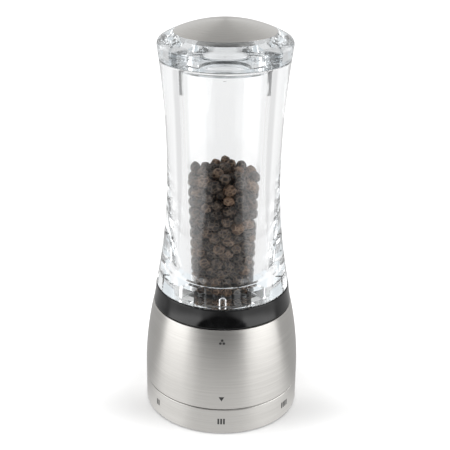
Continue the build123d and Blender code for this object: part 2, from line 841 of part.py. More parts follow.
def setting_core():
    """The moulded ring inside the band: grooved bore, click notches on top, hollow underneath."""
    tube_bottom = foot_height + free_gap
    rim_top = setting_core_top + setting_rim_height
    rim_inner = setting_core_radius - setting_rim_wall
    web_bottom = setting_core_top - setting_web
    core = lathe(
        (setting_bore, tube_bottom),
        (setting_tube_radius, tube_bottom),
        (setting_tube_radius, web_bottom),
        (rim_inner, web_bottom),
        (rim_inner, setting_bottom + run_gap),
        (setting_core_radius, setting_bottom + run_gap),
        (setting_core_radius, setting_core_top),
        (setting_bore + setting_rim_width, setting_core_top),
        (setting_bore + setting_rim_width, rim_top),
        (setting_bore, rim_top),
    )
    core -= setting_groove()
    notch_width = click_nose_width + 4 * click_notch_gap
    for setting in range(1, setting_count + 1):
        angle = click_nose_angle() - (setting_at_rest - setting) * setting_step
        core -= click_wedge(notch_width, setting_core_top - click_nose_drop, setting_core_top + press_gap,
                            click_width + 2 * click_notch_gap, angle)
    return core


def burr_carrier():
    """The sleeve that lifts and lowers the outer burr."""
    lip_radius = carrier_bore - carrier_lip_width
    snap_radius = carrier_bore + snap_ring_bite
    carrier = lathe(
        (lip_radius, carrier_bottom),
        (carrier_radius, carrier_bottom),
        (carrier_radius, carrier_top),
        (carrier_bore, carrier_top),
        (carrier_bore, carrier_top - carrier_land),
        (snap_radius, carrier_top - carrier_land),
        (snap_radius, burr_top),
        (carrier_bore, burr_top),
        (carrier_bore, burr_bottom),
        (lip_radius, burr_bottom),
    )
    for angle in pocket_angles:
        carrier -= follower_pin(angle, press_gap)
    return carrier


def follower_pin(angle, growth=0.0):
    """One steel pin from the carrier's wall, through the neck's slot, into the setting groove."""
    start = carrier_bore + snap_ring_bite + pin_inset
    length = setting_bore + groove_depth - groove_side_gap - start
    pin = Cylinder(pin_radius + growth, length + growth, align=(Align.CENTER, Align.CENTER, Align.MIN))
    return Rot(0, 0, angle) * Pos(start - growth, 0, follower_height(angle)) * Rot(0, 90, 0) * pin


def follower_pins():
    return Part() + [follower_pin(angle) for angle in pocket_angles]


def outer_burr():
    """A steel ring with a flared intake and a toothed cone that closes on the core."""
    def tip(z):
        return core_radius(z) + grind_gap

    intake = burr_top - burr_intake_height
    mouth = burr_radius - burr_intake_wall
    burr = lathe(
        (tip(burr_bottom), burr_bottom),
        (burr_radius, burr_bottom),
        (burr_radius, burr_top - fit_gap),
        (mouth, burr_top - fit_gap),
        (tip(intake), intake),
    )
    cuts = []
    for i in range(tooth_count):
        angle = 360 * i / tooth_count
        start = on_circle(tip(burr_bottom - tooth_width), angle, burr_bottom - tooth_width)
        end = on_circle(tip(intake + tooth_width), angle - tooth_twist, intake + tooth_width)
        cuts.append(v_cut(start, end, tooth_width))
    return burr - cuts


def burr_snap_ring():
    """A split ring over the burr that keeps it in the carrier."""
    inner = carrier_bore - snap_ring_width + snap_ring_bite
    outer = carrier_bore + snap_ring_bite - press_gap
    ring = tube(inner, outer, burr_top, burr_top + snap_ring_thickness)
    return ring - bar(inner - snap_ring_bite, outer + snap_ring_bite, 2 * snap_ring_width, burr_top,
                      carrier_top, click_angle)


def carrier_spring():
    """A coil spring that presses the carrier down against the setting groove."""
    mean_radius = (throat_radius + throat_wall + guide_radius) / 2
    return coil(mean_radius, carrier_spring_wire, carrier_top + fit_gap, spring_shoulder - fit_gap,
                carrier_spring_turns)


pieces = (
    lid_shell, lid_dome, lid_seal,
    hopper, drive_collar, collar_clip, drive_spider, drive_shaft, shaft_clip, shaft_spring,
    grinding_core, core_washer, core_nut,
    base_sleeve, base_frame, slide_ring, bearing_bridge, shaft_bush, bridge_screws,
    foot_ring, foot_screws, click_spring, click_rivet,
    setting_band, setting_core,
    burr_carrier, follower_pins, outer_burr, burr_snap_ring, carrier_spring,
)
os.makedirs("parts", exist_ok=True)
for piece in pieces:
    export_step(piece(), f"parts/{piece.__name__}.step")
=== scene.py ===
"""Looks of the pepper mill: its finishes, the peppercorns in the hopper and the printed marks."""
import json
import math

import bpy
import numpy as np
from mathutils import Euler, Matrix, Vector


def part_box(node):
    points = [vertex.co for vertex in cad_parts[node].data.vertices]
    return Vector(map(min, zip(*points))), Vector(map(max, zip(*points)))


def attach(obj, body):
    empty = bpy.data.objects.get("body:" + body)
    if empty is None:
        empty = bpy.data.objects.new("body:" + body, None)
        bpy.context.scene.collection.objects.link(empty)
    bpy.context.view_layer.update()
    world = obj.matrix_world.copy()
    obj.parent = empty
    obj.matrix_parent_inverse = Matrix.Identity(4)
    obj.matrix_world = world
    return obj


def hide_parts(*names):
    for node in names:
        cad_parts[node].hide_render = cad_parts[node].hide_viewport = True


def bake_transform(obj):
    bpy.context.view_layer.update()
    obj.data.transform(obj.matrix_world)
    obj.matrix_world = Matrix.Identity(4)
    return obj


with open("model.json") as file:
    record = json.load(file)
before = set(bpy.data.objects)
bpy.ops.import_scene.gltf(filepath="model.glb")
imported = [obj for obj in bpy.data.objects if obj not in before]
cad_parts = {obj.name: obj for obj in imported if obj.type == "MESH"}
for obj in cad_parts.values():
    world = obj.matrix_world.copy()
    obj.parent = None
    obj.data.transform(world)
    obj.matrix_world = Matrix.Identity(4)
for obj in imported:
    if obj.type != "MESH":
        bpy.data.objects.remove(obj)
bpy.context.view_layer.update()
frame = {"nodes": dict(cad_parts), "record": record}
nodes = frame["nodes"]

# Camera, in metres and in pixels of the photograph, from the edges of the object there
PHOTO_WIDTH = 450
CAMERA_TURN = math.radians(1.4)
CAMERA_ASIDE = -0.0119
CAMERA_PLACE = (CAMERA_ASIDE, -0.3635, 0.2363)
CAMERA_TARGET = (CAMERA_ASIDE, 0.0, 0.07734)
CAMERA_FOCUS = 1002.0
AXIS_AT_CENTRE = 223.05

# Render: how often light may bounce on its way through the clear walls
LIGHT_BOUNCES = 40
MIRROR_BOUNCES = 24
CLEAR_BOUNCES = 32

# Floor as the picture shows it, with a glow that is lowered beside the base as a painted shadow, in metres
# from the mill's axis
FLOOR_SIZE = 8.0
FLOOR_PAPER = ((0.77, 0.77, 0.77, 1), (0.79, 0.79, 0.79, 1))
FLOOR_SIDES = (0.44, 0.6)
FLOOR_GLOW_NEAR = 0.03
FLOOR_GLOW_FAR = 0.2
FLOOR_GLOW_SPAN = (0.034, 0.06)
FLOOR_GLOW_ENDS = 0.2
FLOOR_GLOW_ENDS_SPAN = (0.0, 0.024)
FLOOR_SHADE_FORWARD = 0.015

# Floor as the mill reflects it
SHEEN_END = (0.14, 0.21)
SHEEN_END_CURVE = 0.06
SHEEN_WIDENING = 0.2
SHEEN_WIDENING_SPAN = (0.2, 0.4)
SHEEN_FRONT = 0.03
SHEEN_NEAR = 1.0
SHEEN_BACK = 0.55
SHEEN_BACK_SPAN = (-0.02, 0.015)
SHEEN_SIDES = 1.1
SHEEN_FAR_SIDES = 2.8
SHEEN_FAR_SPAN = (0.16, 0.24)
SHEEN_FAR_END = (0.28, 0.4)

# Floor through the clear parts
CLEAR_END = (0.11, 0.19)
CLEAR_FAR = (0.22, 0.32)
CLEAR_FAR_FRONT = 0.1
CLEAR_BACK = 1.0
CLEAR_SIDES = 0.78

# Lamps, in metres
SOFTBOX_DISTANCE = 0.9
SOFTBOX_HEIGHT = 0.26
SOFTBOX_SIZE = (0.95, 0.8)
SOFTBOX_GLOW = 1.85
LEFT_SOFTBOX_ANGLE = math.radians(73)
RIGHT_SOFTBOX_ANGLE = math.radians(58)

# Room around the mill: brightness, and where it changes along a unit direction
BACK_GLOW = 0.85
CEILING_GLOW = 0.5
CEILING_UP = (0.45, 0.95)
FRONT_GLOW = 0.06
FRONT_FORWARD = (0.35, 0.75)
OVERHEAD_GLOW = 1.3
OVERHEAD_FORWARD = (0.15, 0.35)
OVERHEAD_UP = (0.7, 0.82)
FRONT_CLEAR = 0.4
SIDE_CLEAR = (0.78, 0.83, 0.86, 1)
SIDE_CLEAR_ASIDE = (0.3, 0.55)
CEILING_CLEAR = (0.86, 0.91, 0.94, 1)
SKY_LOW = 0.2
SKY_RISE = 0.9
SKY_SIDES = 1.3
SKY_SIDES_ASIDE = (0.55, 0.9)

# Finishes: colours, and the scale of a pattern in waves per metre
NOISE_SPAN = (0.3, 0.7)
WHITE = (1, 1, 1, 1)
HOPPER_CLEAN = (0.994, 0.998, 1.0, 1)
HOPPER_SMUDGED = (0.975, 0.985, 0.992, 1)
# The lid's acrylic is greyer than the hopper's: painted shade that darkens the lid, with its smudges on top.
LID_SHADED_CLEAN = (0.815, 0.83, 0.84, 1)
LID_SHADED_SMUDGED = (0.79, 0.805, 0.815, 1)
ACRYLIC_INDEX = 1.49
SMUDGE_SPAN = (0.52, 0.75)
SMUDGE_ROUGHNESS = 0.012
STEEL_DARK = (0.51, 0.497, 0.475, 1)
STEEL_LIGHT = (0.61, 0.597, 0.573, 1)
STEEL_ROUGHNESS = (0.28, 0.38)
STEEL_ANISOTROPY = 0.85
STEEL_GRAIN_TURN = 0.25
SIDE_BRUSHING = ((70, 70, 9000), (25, 25, 1600))
RING_BRUSHING = ((9000, 2.5), (1400, 1.2))
FINE_BRUSHING_SHARE = 0.65
GLOSS_CLEAN = (0.004, 0.004, 0.0042, 1)
GLOSS_HAZED = (0.009, 0.009, 0.0095, 1)
GLOSS_HAZE_SPAN = (0.45, 0.75)
GLOSS_ROUGHNESS = 0.05
GLOSS_INDEX = 1.42
MOULDING_GRAIN = 2600
MOULDING_ROUGHNESS_SPREAD = 0.08
TURNING_RINGS = (400, 400, 7000)
TURNING_ROUGHNESS_SPREAD = 0.07
INK_DARK = (0.012, 0.012, 0.012, 1)
INK_LIGHT = (0.03, 0.03, 0.03, 1)
INK_ROUGHNESS = (0.4, 0.6)
PEPPER_COLOURS = [
    (0.0, (0.006, 0.005, 0.004, 1)),
    (0.4, (0.018, 0.012, 0.009, 1)),
    (0.7, (0.080, 0.042, 0.022, 1)),
    (1.0, (0.240, 0.128, 0.066, 1)),
]
# Painted shade in the creases between the wrinkles, and painted highlights on their ridges.
PEPPER_CREASE_SHADE = (0.012, 0.008, 0.006, 1)
PEPPER_CREASE_SHADE_SHARE = 0.55
PEPPER_RIDGE_HIGHLIGHT = (0.33, 0.235, 0.165, 1)
PEPPER_RIDGE_WIDTH = 0.22
PEPPER_WRINKLES = 600.0
PEPPER_ROUGHNESS = (0.45, 0.68)

# Peppercorns, in metres
CORN_COUNT = 490
CORN_RADIUS = (0.0021, 0.00275)
CORN_NESTING = 0.95
CORN_SHAPES = 6
CORN_SEED = 7
CORN_TINT_POWER = 1.3
CORN_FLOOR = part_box("drive_collar")[1].z
CORN_COLUMN_HEIGHT = 0.085
CORN_COLUMN_SHARE = 0.8
HUB_RISE = 0.0035
HUB_RADIUS = 0.006
MOUTH_RADIUS = 0.0148
BORE_START = 0.058
BORE_RADIUS = 0.0136
BORE_DRAFT = 0.0218
SETTLING_STEPS = 520
SETTLING_FALL = 0.00011
SETTLING_CALM = 0.9
SETTLING_PUSH = 0.42
WRINKLE_SCALE = 0.42
WRINKLE_SCALE_STEP = 0.07
WRINKLE_DEPTH = 0.4

# Carrier spring, in metres
SPRING_MERGE = 1e-6

# Marks, in metres
INK_DEPTH = 0.00003
MARK_STANDOFF = 0.005
STROKE_SIZE = (0.0007, 0.0026)
STROKE_PITCH = 0.00112
STROKE_HEIGHT = 0.0061
STROKE_CUTS = 3
SETTING_COUNT = 6
SETTING_AT_REST = 3
SETTING_STEP = math.radians(55)
POINTER_RADIUS = 0.00128
POINTER_HEIGHT = 0.0168
POINTER_CUTS = 3
SEED_DOTS = 3
SEED_DOT_RADIUS = 0.00052
SEED_DOT_SPREAD = 0.00078
SEED_DOT_SIDES = 20
SEED_DOT_CUTS = 1
SEED_MARK_HEIGHT = 0.0406


class Value:
    """A socket in a node tree. Arithmetic on it adds Math nodes."""

    def __init__(self, tree, socket):
        self.tree = tree
        self.socket = socket

    def math(self, operation, *others):
        return self.tree.add("Math", {"operation": operation}, (self, *others))

    def __add__(self, other):
        return self.math("ADD", other)

    __radd__ = __add__

    def __mul__(self, other):
        return self.math("MULTIPLY", other)

    __rmul__ = __mul__

    def __sub__(self, other):
        return self.math("SUBTRACT", other)

    def __rsub__(self, other):
        return self.tree.add("Math", {"operation": "SUBTRACT"}, (other, self))

    def __truediv__(self, other):
        return self.math("DIVIDE", other)

    def out(self, name):
        """Another output of the same node."""
        return Value(self.tree, self.socket.node.outputs[name])


class Nodes:
    """A node tree that is built by adding nodes with their settings and inputs."""

    def __init__(self, owner):
        owner.use_nodes = True
        self.tree = owner.node_tree
        self.tree.nodes.clear()

    def add(self, kind, settings=None, inputs=()):
        """Adds a node. Inputs is a list in order, or a dictionary by socket name."""
        node = self.tree.nodes.new("ShaderNode" + kind)
        for name, setting in (settings or {}).items():
            if name == "stops":
                self.set_stops(node.color_ramp, setting)
            else:
                setattr(node, name, setting)
        pairs = inputs.items() if isinstance(inputs, dict) else enumerate(inputs)
        for name, value in pairs:
            if isinstance(value, Value):
                self.tree.links.new(value.socket, node.inputs[name])
            else:
                node.inputs[name].default_value = value
        output = next((socket for socket in node.outputs if socket.enabled), None)
        return Value(self, output) if output else node

    def set_stops(self, ramp, stops):
        while len(ramp.elements) < len(stops):
            ramp.elements.new(1.0)
        for element, (place, colour) in zip(ramp.elements, stops):
            element.position = place
            element.color = colour

    def place(self, scale=(1, 1, 1)):
        """The piece's own coordinates, stretched."""
        coordinates = self.add("TexCoord").out("Object")
        return self.add("Mapping", None, {"Vector": coordinates, "Scale": scale})

    def axes(self, coordinates):
        """X of the place or direction that a shader works on. Y and Z are the same node's other outputs."""
        return self.add("SeparateXYZ", None, (self.add("TexCoord").out(coordinates),))

    def noise(self, scale, detail, vector=None):
        vector = vector or self.place()
        return self.add("TexNoise", None, {"Vector": vector, "Scale": scale, "Detail": detail})

    def between(self, value, low, high, to_low=0.0, to_high=1.0):
        """A smooth step from one number to another while the value goes from low to high."""
        return self.add("MapRange", {"interpolation_type": "SMOOTHSTEP"}, (value, low, high, to_low, to_high))

    def mix(self, factor, first, second):
        """A blend of two colours."""
        return self.add("Mix", {"data_type": "RGBA"}, {0: factor, 6: first, 7: second}).out(2)

    def bump(self, height, strength, distance):
        return self.add("Bump", None, {"Height": height, "Strength": strength, "Distance": distance})

    def ray(self, fact):
        """What Light Path says of a ray, such as Is Camera Ray."""
        return self.add("LightPath").out(fact)

    def after(self, kind):
        """1 on a ray that has met a surface of this kind before, Glossy or Diffuse."""
        return self.ray(kind + " Depth").math("GREATER_THAN", 0.5)

    def surface(self, shader):
        return self.add("OutputMaterial", None, {"Surface": shader})


def finish(name):
    """A new material with an empty node tree."""
    material = bpy.data.materials.new(name)
    return material, Nodes(material)


# Finishes


def clear_acrylic(name, clean, smudged):
    """Polished clear plastic with faint smudges."""
    material, n = finish(name)
    smudge = n.between(n.noise(scale=55, detail=4), *SMUDGE_SPAN)
    wave = n.noise(scale=90, detail=1)
    shader = n.add("BsdfPrincipled", None, {
        "Base Color": n.mix(smudge, clean, smudged),
        "Roughness": smudge * SMUDGE_ROUGHNESS,
        "IOR": ACRYLIC_INDEX,
        "Transmission Weight": 1.0,
        "Normal": n.bump(wave, strength=0.015, distance=0.0005),
    })
    n.surface(shader)
    return material


def brushing_lines(n, rings):
    """Fine and broad brushing lines: in rings on a crown, or around the mill on its sides."""
    if rings:
        x = n.axes("Object")
        y = x.out("Y")
        radius = (x * x + y * y).math("SQRT")
        turn = y.math("ARCTAN2", x)
        patterns = [n.add("CombineXYZ", None, (radius * across, turn * along, 0.0))
                    for across, along in RING_BRUSHING]
    else:
        patterns = [n.place(scale) for scale in SIDE_BRUSHING]
    fine = n.noise(scale=1.0, detail=3, vector=patterns[0])
    broad = n.noise(scale=1.0, detail=2, vector=patterns[1])
    return fine * FINE_BRUSHING_SHARE + broad * (1 - FINE_BRUSHING_SHARE)


def brushed_steel(name, rings=False):
    """Stainless steel whose brushing lines stretch its reflections."""
    material, n = finish(name)
    lines = brushing_lines(n, rings)
    shader = n.add("BsdfPrincipled", None, {
        "Base Color": n.mix(n.between(lines, *NOISE_SPAN), STEEL_DARK, STEEL_LIGHT),
        "Metallic": 1.0,
        "Roughness": n.between(lines, *NOISE_SPAN, *STEEL_ROUGHNESS),
        "Anisotropic": STEEL_ANISOTROPY,
        "Anisotropic Rotation": STEEL_GRAIN_TURN,
        "Normal": n.bump(lines, strength=0.18, distance=0.00006),
    })
    n.surface(shader)
    return material


def black_gloss():
    """Polished black plastic with a slight haze."""
    material, n = finish("black_gloss")
    haze = n.between(n.noise(scale=240, detail=4), *GLOSS_HAZE_SPAN)
    wave = n.noise(scale=900, detail=2)
    shader = n.add("BsdfPrincipled", None, {
        "Base Color": n.mix(haze, GLOSS_CLEAN, GLOSS_HAZED),
        "Roughness": haze * GLOSS_ROUGHNESS + GLOSS_ROUGHNESS,
        "IOR": GLOSS_INDEX,
        "Normal": n.bump(wave, strength=0.02, distance=0.0001),
    })
    n.surface(shader)
    return material


def moulding(name, dark, light, rough):
    """Moulded plastic or rubber with a fine grain."""
    material, n = finish(name)
    cloud = n.noise(scale=130, detail=3)
    grain = n.noise(scale=MOULDING_GRAIN, detail=2)
    spread = MOULDING_ROUGHNESS_SPREAD
    shader = n.add("BsdfPrincipled", None, {
        "Base Color": n.mix(cloud, dark, light),
        "Roughness": n.between(grain, *NOISE_SPAN, rough - spread, rough + spread),
        "Normal": n.bump(grain, strength=0.25, distance=0.00005),
    })
    n.surface(shader)
    return material


def turned_metal(name, dark, light, rough):
    """Metal with the fine rings that turning leaves."""
    material, n = finish(name)
    rings = n.noise(scale=1.0, detail=3, vector=n.place(TURNING_RINGS))
    spread = TURNING_ROUGHNESS_SPREAD
    shader = n.add("BsdfPrincipled", None, {
        "Base Color": n.mix(rings, dark, light),
        "Metallic": 1.0,
        "Roughness": n.between(rings, *NOISE_SPAN, rough - spread, rough + spread),
        "Normal": n.bump(rings, strength=0.2, distance=0.00004),
    })
    n.surface(shader)
    return material


def pepper_skin():
    """Dried pepper: dark wrinkled skin, some corns brown, with painted shade in the creases and painted
    highlights on the ridges.
    """
    material, n = finish("pepper_skin")
    tint = n.add("Attribute", {"attribute_name": "corn_tint"}).out("Fac")
    from_ridge = n.add("TexVoronoi", {"feature": "DISTANCE_TO_EDGE"}, {
        "Vector": n.place(),
        "Scale": PEPPER_WRINKLES,
        "Randomness": 1.0,
    })
    ridge = 1 - n.between(from_ridge, 0.0, PEPPER_RIDGE_WIDTH)
    blotch = n.noise(scale=900, detail=4)
    brownness = tint * 0.95 + blotch * 0.3 - 0.12
    # Painted highlight: the ridges are paler, the more so on brown corns.
    ridge_highlight = ridge * (0.22 + tint * 0.42)
    skin = n.add("ValToRGB", {"stops": PEPPER_COLOURS}, (brownness,))
    # Painted shade: the creases between the ridges are darker.
    crease_shaded = n.mix((1 - ridge) * PEPPER_CREASE_SHADE_SHARE, skin, PEPPER_CREASE_SHADE)
    shader = n.add("BsdfPrincipled", None, {
        "Base Color": n.mix(ridge_highlight, crease_shaded, PEPPER_RIDGE_HIGHLIGHT),
        "Roughness": n.between(blotch, *NOISE_SPAN, *PEPPER_ROUGHNESS),
        "Normal": n.bump(ridge + blotch * 0.3, strength=0.6, distance=0.0005),
    })
    n.surface(shader)
    return material


def ink():
    """Dull black printing ink."""
    material, n = finish("mark_ink")
    speck = n.noise(scale=4000, detail=2)
    shader = n.add("BsdfPrincipled", None, {
        "Base Color": n.mix(speck, INK_DARK, INK_LIGHT),
        "Roughness": n.between(speck, *NOISE_SPAN, *INK_ROUGHNESS),
    })
    n.surface(shader)
    return material


def dress_cad_nodes():
    """Gives every node of the frame the finish of its slot, or its own variant of it."""
    finishes = {
        "clear_acrylic": clear_acrylic("clear_acrylic", HOPPER_CLEAN, HOPPER_SMUDGED),
        "brushed_steel": brushed_steel("brushed_steel"),
        "black_gloss": black_gloss(),
        "black_moulding": moulding("black_moulding", (0.016, 0.016, 0.017, 1), (0.03, 0.03, 0.032, 1), 0.5),
        "milky_plastic": moulding("milky_plastic", (0.70, 0.71, 0.71, 1), (0.80, 0.80, 0.79, 1), 0.4),
        "silicone": moulding("silicone", (0.62, 0.63, 0.63, 1), (0.72, 0.73, 0.73, 1), 0.45),
        "burr_steel": turned_metal("burr_steel", (0.16, 0.16, 0.17, 1), (0.28, 0.28, 0.29, 1), 0.38),
        "bright_steel": turned_metal("bright_steel", (0.5, 0.5, 0.51, 1), (0.64, 0.64, 0.65, 1), 0.25),
        "bronze": turned_metal("bronze", (0.40, 0.25, 0.11, 1), (0.55, 0.37, 0.18, 1), 0.35),
    }
    special = {
        "lid_dome": brushed_steel("crown_steel", rings=True),
        # The lid shell gets a greyer copy of the clear acrylic: painted shade.
        "lid_shell": clear_acrylic("shaded_lid_acrylic", LID_SHADED_CLEAN, LID_SHADED_SMUDGED),
    }
    for subpart in frame["record"]["subparts"]:
        piece = nodes[subpart["node"]]
        material = special.get(subpart["node"], finishes[subpart["material_slot"]])
        piece.data.materials.clear()
        piece.data.materials.append(material)


# Modelling helpers


def deselect():
    bpy.ops.object.select_all(action="DESELECT")


def pick(*pieces):
    """Selects these pieces alone, with the first one active."""
    deselect()
    for piece in pieces:
        piece.select_set(True)
    bpy.context.view_layer.objects.active = pieces[0]


def apply_place():
    """Moves the selected piece's place, turn and scale into its mesh."""
    bpy.ops.object.transform_apply(location=True, rotation=True, scale=True)


def apply_modifiers(piece):
    pick(piece)
    for modifier in list(piece.modifiers):
        bpy.ops.object.modifier_apply(modifier=modifier.name)


def edit_whole(piece, operator, **settings):
    """Runs an edit mode operator on all of a piece."""
    pick(piece)
    bpy.ops.object.mode_set(mode="EDIT")
    bpy.ops.mesh.select_all(action="SELECT")
    operator(**settings)
    bpy.ops.object.mode_set(mode="OBJECT")


def join(pieces, name):
    """Joins pieces into one and leaves it at the origin, unturned and unscaled."""
    pick(*pieces)
    bpy.ops.object.join()
    apply_place()
    joined = bpy.context.object
    joined.name = name
    joined.data.name = name
    return joined


# Peppercorns


def bore_radius(height):
    """How far from the axis the pepper can reach at a height."""
    bore = BORE_RADIUS + BORE_DRAFT * (height - BORE_START)
    return np.where(height < BORE_START, MOUTH_RADIUS, bore)


def settle_corns():
    """Centres and radii of corns that have fallen into the hopper and come to rest."""
    draw = np.random.default_rng(CORN_SEED)
    radii = draw.uniform(*CORN_RADIUS, CORN_COUNT)
    reach = draw.uniform(0, 1, CORN_COUNT) ** 0.5 * BORE_RADIUS * CORN_COLUMN_SHARE
    turn = draw.uniform(0, 2 * math.pi, CORN_COUNT)
    height = np.linspace(CORN_FLOOR, CORN_FLOOR + CORN_COLUMN_HEIGHT, CORN_COUNT)
    centres = np.stack([reach * np.cos(turn), reach * np.sin(turn), height], 1)
    contact = CORN_NESTING * (radii[:, None] + radii[None, :])
    others = 1 - np.eye(CORN_COUNT)
    for step in range(SETTLING_STEPS):
        if step < SETTLING_CALM * SETTLING_STEPS:
            centres[:, 2] -= SETTLING_FALL
        apart = centres[:, None, :] - centres[None, :, :]
        distance = np.linalg.norm(apart, axis=2) + np.eye(CORN_COUNT)
        overlap = np.clip(contact - distance, 0, None) * others
        centres += SETTLING_PUSH * (apart / distance[:, :, None] * overlap[:, :, None]).sum(1)
        from_axis = np.maximum(np.linalg.norm(centres[:, :2], axis=1), 1e-9)
        over_hub = centres[:, 2] > CORN_FLOOR + HUB_RISE
        nearest = np.where(over_hub, 0, HUB_RADIUS + radii)
        furthest = bore_radius(centres[:, 2]) - radii
        centres[:, :2] *= (np.clip(from_axis, nearest, furthest) / from_axis)[:, None]
        on_hub = over_hub & (from_axis < HUB_RADIUS)
        ground = CORN_FLOOR + np.where(on_hub, HUB_RISE, 0) + radii
        centres[:, 2] = np.maximum(centres[:, 2], ground)
    return centres, radii


def corn_shapes():
    """A few wrinkled corns that just fit in a ball of unit radius, to be copied."""
    shapes = []
    for number in range(CORN_SHAPES):
        deselect()
        bpy.ops.mesh.primitive_ico_sphere_add(subdivisions=2, radius=1.0)
        shape = bpy.context.object
        wrinkle = bpy.data.textures.new(f"wrinkle_{number}", "CLOUDS")
        wrinkle.noise_scale = WRINKLE_SCALE + WRINKLE_SCALE_STEP * number
        displace = shape.modifiers.new("wrinkle", "DISPLACE")
        displace.texture = wrinkle
        displace.strength = WRINKLE_DEPTH
        apply_modifiers(shape)
        reach = max(vertex.co.length for vertex in shape.data.vertices)
        shape.scale = (1 / reach, 1 / reach, 1 / reach)
        apply_place()
        bpy.ops.object.shade_smooth()
        shapes.append(shape)
    return shapes


def peppercorns():
    """The pile of corns, each turned and tinted by chance."""
    draw = np.random.default_rng(CORN_SEED + 1)
    centres, radii = settle_corns()
    shapes = corn_shapes()
    corns = []
    for number, (centre, radius) in enumerate(zip(centres, radii)):
        corn = shapes[number % CORN_SHAPES].copy()
        corn.data = corn.data.copy()
        turn = Euler(draw.uniform(0, 2 * math.pi, 3)).to_matrix().to_4x4()
        corn.matrix_world = Matrix.Translation(Vector(centre)) @ turn @ Matrix.Scale(radius, 4)
        tint = corn.data.attributes.new("corn_tint", "FLOAT", "POINT")
        tint.data.foreach_set("value", [draw.uniform(0, 1) ** CORN_TINT_POWER] * len(corn.data.vertices))
        bpy.context.collection.objects.link(corn)
        corns.append(corn)
    for shape in shapes:
        bpy.data.objects.remove(shape)
    pile = join(corns, "peppercorns")
    pile.data.materials.append(pepper_skin())
    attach(pile, "hopper")


# Carrier spring


def carrier_spring():
    """The spring as a piece of its own: a copy of the CAD node with its doubled points merged and smooth
    shading, which replaces the hidden node.
    """
    spring = bpy.data.objects.new("carrier_coil_spring", nodes["carrier_spring"].data.copy())
    bpy.context.collection.objects.link(spring)
    edit_whole(spring, bpy.ops.mesh.remove_doubles, threshold=SPRING_MERGE)
    bpy.ops.object.shade_smooth()
    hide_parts("carrier_spring")
    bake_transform(spring)


# Printed marks


def square(location, rotation):
    bpy.ops.mesh.primitive_plane_add(size=1, location=location, rotation=rotation)


def disc(location, rotation):
    bpy.ops.mesh.primitive_circle_add(vertices=SEED_DOT_SIDES, radius=1, fill_type="TRIFAN",
                                      location=location, rotation=rotation)


def triangle(location, rotation):
    """A triangle that points down."""
    bpy.ops.mesh.primitive_circle_add(vertices=3, radius=1, fill_type="NGON", location=location,
                                      rotation=(rotation[0], math.pi, 0))


def flat_mark(make, across, height, size, cuts):
    """A flat shape standing upright in front of the mill, with enough faces to wrap."""
    deselect()
    front = -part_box("setting_band")[1].x - MARK_STANDOFF
    make(location=(across, front, height), rotation=(math.pi / 2, 0, 0))
    piece = bpy.context.object
    piece.scale = (size[0], size[1], 1)
    apply_place()
    edit_whole(piece, bpy.ops.mesh.subdivide, number_cuts=cuts)
    return piece


def print_on(piece, node, angle):
    """Lays a flat mark from in front of the mill on a node's surface and turns it about the axis."""
    wrap = piece.modifiers.new("wrap", "SHRINKWRAP")
    wrap.target = nodes[node]
    wrap.wrap_method = "PROJECT"
    wrap.use_project_y = True
    wrap.use_positive_direction = True
    wrap.use_negative_direction = True
    wrap.offset = INK_DEPTH
    apply_modifiers(piece)
    piece.matrix_world = Matrix.Rotation(angle, 4, "Z")
    apply_place()


def setting_marks(ink_finish):
    """Tally strokes on the setting ring, one stroke for the finest grind and one more for each step."""
    strokes = []
    for setting in range(1, SETTING_COUNT + 1):
        angle = (setting - SETTING_AT_REST) * SETTING_STEP
        for number in range(setting):
            across = (number - (setting - 1) / 2) * STROKE_PITCH
            stroke = flat_mark(square, across, STROKE_HEIGHT, STROKE_SIZE, STROKE_CUTS)
            print_on(stroke, "setting_band", angle)
            strokes.append(stroke)
    marks = join(strokes, "setting_marks")
    marks.data.materials.append(ink_finish)
    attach(marks, "setting_ring")


def base_marks(ink_finish):
    """The pointer over the settings and the mark of three corns near the top of the base."""
    pointer = flat_mark(triangle, 0, POINTER_HEIGHT, (POINTER_RADIUS, POINTER_RADIUS), POINTER_CUTS)
    print_on(pointer, "base_sleeve", 0)
    pointer.name = "pointer_mark"
    dots = []
    for number in range(SEED_DOTS):
        turn = math.pi / 2 + number * 2 * math.pi / SEED_DOTS
        across = SEED_DOT_SPREAD * math.cos(turn)
        height = SEED_MARK_HEIGHT + SEED_DOT_SPREAD * math.sin(turn)
        dot = flat_mark(disc, across, height, (SEED_DOT_RADIUS, SEED_DOT_RADIUS), SEED_DOT_CUTS)
        print_on(dot, "base_sleeve", 0)
        dots.append(dot)
    seeds = join(dots, "pepper_mark")
    for mark in (pointer, seeds):
        mark.data.materials.append(ink_finish)
        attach(mark, "base")


# Studio


def add_camera():
    """The photograph's camera, with a sideways shift for its off-centre crop."""
    turn = Matrix.Rotation(CAMERA_TURN, 3, "Z")
    place = turn @ Vector(CAMERA_PLACE)
    sight = turn @ Vector(CAMERA_TARGET) - place
    bpy.ops.object.camera_add(location=place)
    camera = bpy.context.object
    camera.rotation_euler = sight.to_track_quat("-Z", "Y").to_euler()
    camera.data.lens = CAMERA_FOCUS / PHOTO_WIDTH * camera.data.sensor_width
    lens_axis = AXIS_AT_CENTRE + CAMERA_ASIDE * CAMERA_FOCUS / sight.length
    camera.data.shift_x = (PHOTO_WIDTH / 2 - lens_axis) / PHOTO_WIDTH
    bpy.context.scene.camera = camera


